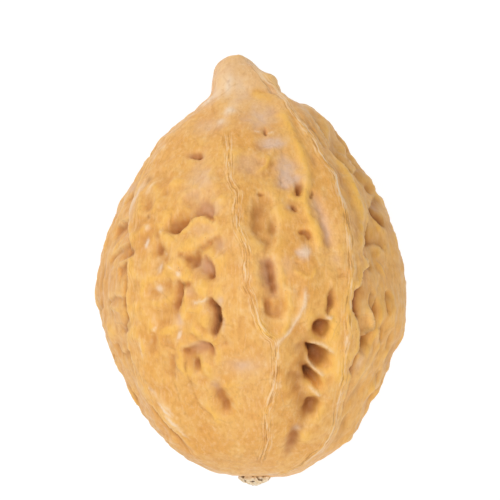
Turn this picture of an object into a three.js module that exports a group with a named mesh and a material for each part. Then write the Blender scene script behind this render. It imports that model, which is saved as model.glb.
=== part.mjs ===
// A walnut in its shell, lying on its side on a small flat spot, with the dried stub of its stalk.
// Millimetres, +Z up. +Y runs from the stalk end to the tip, and the origin is on the resting plane,
// under the middle of the nut. A turn is an angle about the nut's long axis, in degrees: 0 faces up,
// 90 faces +X. A height is a distance along that axis from the middle of the nut.
import * as THREE from "three";
import { mergeVertices } from "three/addons/utils/BufferGeometryUtils.js";

// Driving dimensions.
const WIDTH = 28.6; // across the nut at its widest
const THICKNESS = 27.8; // top to underside, before the flat spot is worn into it
const FLAT_SPOT_DEPTH = 0.4; // what the flat spot takes off the underside
const STUB_RADIUS = 1.25;
const STUB_LENGTH = 0.95;
const STUB_GAP = 0.3; // between the stub and the shell that it dried on
const SHELL_DETAIL = 19; // splits of each icosahedron edge
const STUB_DETAIL = 5;

// Half of the nut's lengthwise outline, from the stalk end to the tip: [radius, height].
const OUTLINE = [
  [0, -18.8],
  [3.5, -18.6],
  [6.5, -17.3],
  [8.9, -15.1],
  [10.9, -12.0],
  [12.75, -8.2],
  [13.9, -4.4],
  [14.2, -1.0],
  [13.5, 2.6],
  [12.2, 6.2],
  [10.1, 9.7],
  [7.7, 13.0],
  [5.3, 15.2],
  [3.7, 16.1],
  [3.05, 17.0],
  [2.7, 18.1],
  [1.9, 19.0],
  [1.0, 19.75],
  [0, 20.05],
];
const HALF_WIDTH = Math.max(...OUTLINE.map(([radius]) => radius));

// The long axis is not quite straight: [height, how far it stands off to +X]. The tip leans to -X.
const AXIS_BEND = [
  [-18.8, 0.6],
  [-15, 0.4],
  [-11, 0.2],
  [-5, 0.1],
  [1, 0],
  [8, 0.25],
  [14.6, 0.45],
  [16, -0.1],
  [17.6, -0.5],
  [19, -1.2],
  [20.05, -1.4],
];
const BASE_BEND = AXIS_BEND[0][1];

// Four lengthwise ridges: the seam where the two halves of the shell meet, on opposite sides of the
// nut, and a lower, broader rib halfway round each half.
const SEAM_TURN = 39;
const RIDGES = [
  { turn: SEAM_TURN, rise: 0.75, spread: 1.7 },
  { turn: SEAM_TURN + 180, rise: 0.75, spread: 1.7 },
  { turn: SEAM_TURN - 90, rise: 0.5, spread: 2.1 },
  { turn: SEAM_TURN + 90, rise: 0.5, spread: 2.1 },
];
const RIDGES_FADE_UNDER = 5; // the radius under which the ridges run out at the two ends

// A slow, uneven swell of the whole shell: waves round the nut, radians of twist per mm, start, rise.
const SWELL = [
  [2, 0.22, 0.6, 0.12],
  [5, -0.45, 0, 0.1],
  [9, 0.7, 0, 0.06],
];

// The stub's uneven edge: waves round it, start in radians, share of its radius.
const STUB_EDGE = [
  [3, 0.5, 0.08],
  [7, 0, 0.05],
];

// Broad hollows between the ridges: turn, height, half size across and along, depth.
const HOLLOWS = [
  [-24, -3, 3.0, 5.5, 0.5],
  [-22, 6, 2.8, 3.5, 0.35],
  [12, -1, 2.2, 4.5, 0.45],
  [14, 7.5, 2.6, 4.0, 0.3],
  [26, -8.5, 2.0, 4.5, 0.5],
  [-12, -11, 2.4, 3.5, 0.35],
  [64, 0, 3.2, 6.5, 0.7],
  [72, 8, 2.8, 3.5, 0.45],
  [66, -9, 3.0, 4.0, 0.45],
  [-74, -1, 2.8, 5.5, 0.5],
  [-70, -10, 2.6, 3.5, 0.4],
  [108, -4, 3.2, 5.0, 0.6],
  [105, 7, 3.0, 3.5, 0.4],
  [152, 5, 3.2, 4.0, 0.5],
  [-162, 8, 3.0, 4.0, 0.45],
  [-110, 3, 3.2, 5.5, 0.6],
  [-106, -10, 2.8, 4.0, 0.4],
  [160, -13, 2.8, 3.0, 0.3],
];

const outline = new THREE.SplineCurve(OUTLINE.map(([radius, height]) => new THREE.Vector2(radius, height)));

// How far the long axis stands off to +X at a height.
function bendAt(height) {
  const above = Math.max(1, AXIS_BEND.findIndex(([atHeight]) => atHeight >= height));
  const [lowHeight, low] = AXIS_BEND[above - 1];
  const [highHeight, high] = AXIS_BEND[above];
  return low + (high - low) * THREE.MathUtils.smoothstep(height, lowHeight, highHeight);
}

// The distance round the nut, in millimetres, from one turn to another at a given radius.
function distanceRound(turn, other, radius) {
  const apart = THREE.MathUtils.euclideanModulo(turn - other + 180, 360) - 180;
  return THREE.MathUtils.degToRad(apart) * radius;
}

function ridgeRise(turn, radius) {
  const strength = THREE.MathUtils.smoothstep(radius, 0, RIDGES_FADE_UNDER);
  return RIDGES.reduce((sum, ridge) => {
    const across = distanceRound(turn, ridge.turn, radius) / ridge.spread;
    return sum + ridge.rise * strength * Math.exp(-across * across);
  }, 0);
}

function hollowDepth(turn, height, radius) {
  return HOLLOWS.reduce((sum, [atTurn, atHeight, halfAcross, halfAlong, depth]) => {
    const across = distanceRound(turn, atTurn, radius) / halfAcross;
    const along = (height - atHeight) / halfAlong;
    return sum + depth * Math.exp(-across * across - along * along);
  }, 0);
}

function swell(turn, height, radius) {
  const angle = THREE.MathUtils.degToRad(turn);
  const rise = SWELL.reduce((sum, [waves, twist, start, size]) => {
    return sum + size * Math.sin(waves * angle + twist * height + start);
  }, 0);
  return (rise * radius) / HALF_WIDTH;
}

// Where a direction from the middle of the nut meets its surface.
function shellPoint(direction) {
  const polarAngle = Math.acos(THREE.MathUtils.clamp(-direction.y, -1, 1));
  const onOutline = outline.getPointAt(polarAngle / Math.PI);
  const round = Math.atan2(direction.x, direction.z);
  const turn = THREE.MathUtils.radToDeg(round);
  const radius = Math.max(onOutline.x, 0);
  const height = onOutline.y;
  const relief = ridgeRise(turn, radius) - hollowDepth(turn, height, radius) + swell(turn, height, radius);
  const reach = Math.max(radius + relief, 0);
  return new THREE.Vector3(
    (reach * Math.sin(round) * WIDTH) / (2 * HALF_WIDTH) + bendAt(height),
    height,
    (reach * Math.cos(round) * THICKNESS) / (2 * HALF_WIDTH),
  );
}

// A closed lump: an icosahedron's fine mesh with every vertex moved to where pointOf puts it.
function lump(detail, pointOf) {
  const sphere = new THREE.IcosahedronGeometry(1, detail);
  sphere.deleteAttribute("normal");
  sphere.deleteAttribute("uv");
  const geometry = mergeVertices(sphere, 1e-5);
  const positions = geometry.getAttribute("position");
  const direction = new THREE.Vector3();
  for (let i = 0; i < positions.count; i++) {
    direction.fromBufferAttribute(positions, i).normalize();
    positions.setXYZ(i, ...pointOf(direction));
  }
  geometry.computeVertexNormals();
  return geometry;
}

function nut() {
  const flatSpot = FLAT_SPOT_DEPTH - THICKNESS / 2;
  const geometry = lump(SHELL_DETAIL, (direction) => {
    const point = shellPoint(direction);
    point.z = Math.max(point.z, flatSpot);
    return point;
  });
  const material = new THREE.MeshStandardMaterial({ color: 0xe3ae68, roughness: 0.55, metalness: 0 });
  const mesh = new THREE.Mesh(geometry, material);
  mesh.name = "nut";
  return mesh;
}

// The dried, crumbled end of the stalk: a flattish knob with an uneven edge.
function stalkStub() {
  const geometry = lump(STUB_DETAIL, (direction) => {
    const round = Math.atan2(direction.x, direction.z);
    const uneven = STUB_EDGE.reduce((sum, [waves, start, share]) => {
      return sum + share * Math.sin(waves * round + start);
    }, 1);
    return new THREE.Vector3(
      direction.x * STUB_RADIUS * uneven,
      (direction.y * STUB_LENGTH) / 2,
      direction.z * STUB_RADIUS * uneven,
    );
  });
  const material = new THREE.MeshStandardMaterial({ color: 0xd9c7a4, roughness: 0.9, metalness: 0 });
  const mesh = new THREE.Mesh(geometry, material);
  mesh.name = "stalk_stub";
  mesh.position.set(BASE_BEND, OUTLINE[0][1] - STUB_GAP - STUB_LENGTH / 2, 0);
  return mesh;
}

const walnut = new THREE.Group();
walnut.add(nut(), stalkStub());

// The walnut is set down with its flat spot on the resting plane and its middle over the origin.
const box = new THREE.Box3().setFromObject(walnut);
const middle = box.getCenter(new THREE.Vector3());
walnut.children.forEach((piece) => piece.position.sub(new THREE.Vector3(middle.x, middle.y, box.min.z)));

export default walnut;
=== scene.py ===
import math

import bpy
import numpy as np
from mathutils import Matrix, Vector, noise


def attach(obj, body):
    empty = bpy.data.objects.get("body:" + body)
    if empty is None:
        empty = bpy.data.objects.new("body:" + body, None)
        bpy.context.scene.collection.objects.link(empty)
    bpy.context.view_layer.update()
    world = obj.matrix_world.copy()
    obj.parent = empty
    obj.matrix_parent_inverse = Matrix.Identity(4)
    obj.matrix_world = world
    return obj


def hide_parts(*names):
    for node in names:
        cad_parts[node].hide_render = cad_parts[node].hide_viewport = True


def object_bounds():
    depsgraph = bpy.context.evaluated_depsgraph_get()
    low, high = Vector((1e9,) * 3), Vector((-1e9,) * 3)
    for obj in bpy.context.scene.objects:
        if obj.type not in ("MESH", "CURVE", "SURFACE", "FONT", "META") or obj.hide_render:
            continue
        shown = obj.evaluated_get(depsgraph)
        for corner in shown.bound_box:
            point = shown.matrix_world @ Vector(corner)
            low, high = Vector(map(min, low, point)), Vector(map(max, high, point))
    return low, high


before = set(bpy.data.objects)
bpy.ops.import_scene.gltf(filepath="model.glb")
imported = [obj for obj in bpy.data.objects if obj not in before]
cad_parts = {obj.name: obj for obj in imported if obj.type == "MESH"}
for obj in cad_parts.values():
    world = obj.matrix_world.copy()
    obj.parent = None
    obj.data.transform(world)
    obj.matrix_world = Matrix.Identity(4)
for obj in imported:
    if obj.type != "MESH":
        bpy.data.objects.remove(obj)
cad_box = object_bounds()
low, high = np.array(cad_box[0]), np.array(cad_box[1])
NUT_LENGTH = 40.1  # with the stub, in mm
MM = (high[1] - low[1]) / NUT_LENGTH
SEED = 11
LEVELS = 2  # how often the CAD meshes are subdivided
GIRTH = 12  # the nut's usual radius, in mm
BEND = 0.35  # the step between the points of a line over the surface, in mm
WAVER = 0.75  # the size of the small sways in every edge, in mm


# ---- A fine copy of a CAD node ----
def add(name, data):
    thing = bpy.data.objects.new(name, data)
    bpy.context.collection.objects.link(thing)
    return thing


def fine_copy(node, name):
    """A new object with the node's shape, its vertices merged and its faces subdivided."""
    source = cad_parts[node].data
    count = len(source.vertices)
    places = np.empty(count * 3)
    source.vertices.foreach_get("co", places)
    places = places.reshape(-1, 3)
    _, first, new = np.unique(np.round(places / MM, 3), axis=0, return_index=True, return_inverse=True)
    new = new.reshape(-1)
    faces = [[int(new[v]) for v in face.vertices] for face in source.polygons]
    mesh = bpy.data.meshes.new(name)
    mesh.from_pydata(places[first].tolist(), [], [f for f in faces if len(set(f)) == len(f)])
    mesh.validate()
    piece = add(name, mesh)
    piece.modifiers.new("finer", "SUBSURF").levels = LEVELS
    bpy.context.view_layer.update()
    piece_now = piece.evaluated_get(bpy.context.evaluated_depsgraph_get())
    piece.data = bpy.data.meshes.new_from_object(piece_now)
    piece.data.name = name
    piece.modifiers.clear()
    piece.data.polygons.foreach_set("use_smooth", [True] * len(piece.data.polygons))
    return piece


def read(mesh, what):
    values = np.empty(len(mesh.vertices) * 3)
    mesh.vertices.foreach_get(what, values)
    return values.reshape(-1, 3)


def smooth(t):
    """A soft step from 0 to 1."""
    t = np.clip(t, 0, 1)
    return t * t * (3 - 2 * t)


def bell(t):
    """1 at 0, fading to nothing on both sides."""
    return np.exp(-(t**2))


def ends(share, taper):
    """1 along a line, fading out over a share of its length at both ends."""
    return smooth(share / taper) * smooth((1 - share) / taper)


def bend(p0, p1, p2, p3, t):
    """The point at a share t of the way from p1 to p2, on a smooth curve through all four."""
    return 0.5 * (2 * p1 + (p2 - p0) * t + (2 * p0 - 5 * p1 + 4 * p2 - p3) * t**2
                  + (3 * p1 - p0 - 3 * p2 + p3) * t**3)


nut = fine_copy("nut", "walnut_shell")
co = read(nut.data, "co") / MM
out = read(nut.data, "normal")
COUNT = len(co)
MID_Z = (co[:, 2].min() + co[:, 2].max()) / 2

edges = np.empty(len(nut.data.edges) * 2, dtype=np.int64)
nut.data.edges.foreach_get("vertices", edges)
edges = edges.reshape(-1, 2)
neighbours = np.bincount(edges.ravel(), minlength=COUNT)


def blurred(values, rounds):
    """The values averaged with their neighbours' along the mesh, again and again."""
    for _ in range(rounds):
        total = np.bincount(edges[:, 0], values[edges[:, 1]], COUNT)
        total += np.bincount(edges[:, 1], values[edges[:, 0]], COUNT)
        values = (values + total / neighbours) / 2
    return values


# The nut's middle in x at each height, from its own sides, gives every vertex its turn.
rows = np.arange(-18.5, 19.6, 0.5)
row_middle = []
for row in rows:
    sides = co[np.abs(co[:, 1] - row) < 0.4, 0]
    row_middle.append((sides.min() + sides.max()) / 2)
turn = np.degrees(np.arctan2(co[:, 0] - np.interp(co[:, 1], rows, row_middle), co[:, 2] - MID_Z))

move = np.zeros(COUNT)  # how far each vertex goes outwards, in mm
wobble = np.array([[noise.noise(Vector(p) / WAVER + Vector((shift, 3, 7))) for p in co]
                   for shift in (0, 50)])
# Tints: shade is painted shade in hollows, grooves, folds and pits, partly the shell's browner colour there,
# and also real dark specks; pale and warm are real colour, and also painted highlights on crests, fold edges
# and lit slopes; bloom is the lilac bloom.
tint = {key: np.zeros(COUNT) for key in ("shade", "bloom", "pale", "warm")}


def top(x, y):
    """The vertex of the upper side that is nearest to a place in plan."""
    under = np.where(co[:, 2] < MID_Z, 1e6, 0)
    return int(np.argmin((co[:, 0] - x) ** 2 + (co[:, 1] - y) ** 2 + under))


def around(at_turn, y):
    """The vertex nearest to a turn and a height."""
    apart = np.radians((turn - at_turn + 180) % 360 - 180) * GIRTH
    return int(np.argmin(apart**2 + (co[:, 1] - y) ** 2))


def axes_at(vertex):
    """Across (towards growing turn) and along (towards the tip), in the surface."""
    n = out[vertex]
    along = np.array([0.0, 1.0, 0.0]) - n * n[1]
    along /= np.linalg.norm(along)
    return np.cross(along, n), along


def apply(near, strength, height=0.0, **tints):
    move[near] += height * strength
    for key, amount in tints.items():
        tint[key][near] += amount * np.abs(strength)


def spot(vertex, across, along, height=0.0, lean=0.0, edge=2.0, skew=(0.0, 0.0), **tints):
    """An oval bump (height over 0) or dent (under 0). A lean turns its top towards +X, in degrees. Skew
    makes it steeper towards +across or +along and gentler the other way."""
    reach = 2.6 * max(across, along)
    away = co - co[vertex]
    near = np.where((np.abs(away) < reach).all(axis=1))[0]
    away = away[near]
    a, b = axes_at(vertex)
    c, s = math.cos(math.radians(lean)), math.sin(math.radians(lean))
    u, v = away @ (a * c - b * s), away @ (b * c + a * s)
    u, v = (u, v) + 0.4 * min(across, along) * wobble[:, near]
    u = u / (across * (1 - skew[0] * np.tanh(2 * u / across)))
    v = v / (along * (1 - skew[1] * np.tanh(2 * v / along)))
    r = np.hypot(u, v)
    apply(near, np.exp(-(r**edge)), height, **tints)


def path(vertices):
    """A smooth line over the surface through the vertices, as points that lie close together."""
    knots = co[vertices]
    knots = np.vstack([2 * knots[0] - knots[1], knots, 2 * knots[-1] - knots[-2]])
    points = []
    for p0, p1, p2, p3 in zip(knots, knots[1:], knots[2:], knots[3:]):
        parts = max(2, math.ceil(np.linalg.norm(p2 - p1) / BEND))
        points += [bend(p0, p1, p2, p3, t) for t in np.arange(parts) / parts]
    return np.array(points + [knots[-2]])


def beside(points, reach):
    """Which vertices are near a line, how far left of it they are, and at what share of its length."""
    near = np.where(((co > points.min(0) - reach) & (co < points.max(0) + reach)).all(axis=1))[0]
    best = np.full(len(near), np.inf)
    side = np.zeros(len(near))
    share = np.zeros(len(near))
    for i, (start, end) in enumerate(zip(points, points[1:])):
        run = end - start
        away = co[near] - start
        t = np.clip(away @ run / (run @ run), 0, 1)
        away = away - t[:, None] * run
        away -= (away * out[near]).sum(1)[:, None] * out[near]
        distance = np.linalg.norm(away, axis=1)
        closer = distance < best
        left = np.sign((np.cross(run, away) * out[near]).sum(1))
        best = np.where(closer, distance, best)
        side = np.where(closer, left, side)
        share = np.where(closer, (i + t) / (len(points) - 1), share)
    kept = best < reach
    return near[kept], (best * side)[kept], share[kept]


def line(vertices, width, height, taper, **tints):
    """A crest (height over 0) or groove (under 0) along a line, which tapers off at its ends."""
    near, off, share = beside(path(vertices), 2.2 * width)
    off = off + 0.3 * width * wobble[0][near]
    apply(near, bell(off / width) * ends(share, taper) * (1 + 0.5 * wobble[1][near]), height, **tints)


def fold(vertices, drop, sharp, fade, lip=0.0, taper=0.12, **tints):
    """A step down on the left of the line's direction, which eases back up further away."""
    near, off, share = beside(path(vertices), 3 * fade)
    off = off + 0.16 * wobble[0][near]
    sharp = 0.8 * sharp
    shown = ends(share, taper)
    left = np.maximum(off, 0)
    right = np.maximum(-off, 0)
    step = (1 - bell(left / sharp)) * np.exp(-left / fade) * shown
    move[near] -= drop * step
    move[near] += lip * bell((right + left * 2) / sharp) * shown
    # The edge itself gets a painted highlight: pale, with a warmer band around it.
    shown = shown * min(1.0, drop / 0.4)
    tint["pale"][near] += 0.14 * bell((right + left) / 0.16) * shown
    tint["warm"][near] += 0.45 * bell((right + left * 2) / 0.32) * shown
    # The tints follow the step; their shade is painted shade on the dropped side.
    for key, amount in tints.items():
        tint[key][near] += amount * step


def pit(places, deepest, depth, wall, shade):
    """A bowl with a rounded rim through the places in plan. Its floor is lowest at its deepest place, so the
    walls near that place are steep and those across from it are gentle."""
    knots = np.array(places)
    count = len(knots)
    rim = []
    for i in range(count):
        p0, p1, p2, p3 = (knots[(i + k) % count] for k in (-1, 0, 1, 2))
        rim += [bend(p0, p1, p2, p3, t) for t in np.arange(6) / 6]
    rim = np.array(rim) - deepest
    ways = np.arctan2(rim[:, 1], rim[:, 0])
    order = np.argsort(ways)
    ways, far = ways[order], np.hypot(rim[order, 0], rim[order, 1])
    near = np.where((co[:, 2] > MID_Z) & (np.hypot(*(co[:, :2] - deepest).T) < far.max() * 1.9 + 0.4))[0]
    u, v = (co[near, :2] - deepest).T + 0.2 * wobble[:, near]
    r, way = np.hypot(u, v), np.arctan2(v, u)
    out_to = np.interp(way, ways, far, period=2 * math.pi)
    share = r / out_to
    bowl = smooth((1.12 - share) / wall)
    move[near] -= depth * bowl
    move[near] += 0.05 * bell((r - out_to - 0.25) / 0.28)  # the lip round it
    # Painted shade in the bowl, darker on its upper left side, which turns from the key light, and a ring of
    # painted shade outside the rim; the lower right side gets warm painted light.
    dark = np.clip(0.8 - 0.75 * share * (0.8 * np.cos(way) - 0.5 * np.sin(way)), 0.15, 1.3)
    tint["shade"][near] += shade * smooth((1.08 - share) / 0.8) * dark
    tint["shade"][near] += 0.2 * shade * bell(np.maximum(r - out_to, 0) / 0.5) * (dark + 0.3)
    tint["warm"][near] += 0.8 * smooth((1.1 - share) / 0.4) * (1 - np.clip(dark, 0, 1))


# ---- The relief of the upper side, in plan ----
SEAM = [(-0.1, 19.3), (0.25, 18.7), (1.25, 17.4), (1.9, 16.5), (2.45, 15.95), (3.0, 15.4), (3.6, 14.7),
        (4.2, 13.9), (5.05, 12.8), (5.76, 11.7), (6.35, 10.6), (7.01, 9.48), (7.55, 8.6), (7.75, 7.7),
        (8.12, 6.4), (8.42, 5.04), (8.71, 3.42), (8.94, 1.94), (8.97, 0.5), (8.94, -1), (8.85, -2.6),
        (8.71, -4.5), (8.65, -5.8), (8.36, -7.3), (8.18, -9.6), (7.99, -11), (7.81, -12.4), (7.53, -13.6),
        (6.9, -15), (6.36, -15.95), (5.5, -16.8), (4.39, -17.6), (3.0, -18.25), (1.9, -18.6)]
VEIN_TOP = [(-2.08, 13.2), (-2.05, 12.2), (-1.89, 11.2), (-1.9, 9.3), (-1.8, 8.4), (-1.5, 7.67), (-1.2, 7.2),
            (-1.15, 6.4), (-1.25, 5.6), (-1.2, 4.7), (-1.1, 3.8), (-0.8, 2.9), (-0.42, 2.1), (-0.35, 1.3),
            (-0.46, 0.5), (-0.46, -0.4), (-0.42, -1.3), (0.1, -2.2), (0.5, -3.6), (0.88, -4.7), (1.3, -5.4),
            (2.0, -6.1), (2.3, -6.8), (2.25, -8.3), (2.2, -9.6), (2.0, -10.6), (1.65, -11.6), (1.5, -13),
            (1.5, -14.4), (1.4, -15.6), (1.1, -16.6), (1.0, -17.8)]
VEIN_RIGHT = [(5.0, -1.0), (4.94, -1.76), (4.76, -2.68), (4.34, -3.6), (4.02, -4.34), (3.47, -5.08),
              (3.0, -5.82), (2.45, -6.3), (2.3, -7.0)]
LEFT_RIB = [(-6.1, 13.6), (-7.9, 11), (-9.6, 8), (-10.3, 5), (-10.65, 1), (-10.35, -2.5), (-10.5, -6),
            (-9.7, -9.4), (-7.6, -13.6), (-5.3, -16.4), (-2.6, -18.4)]
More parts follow.
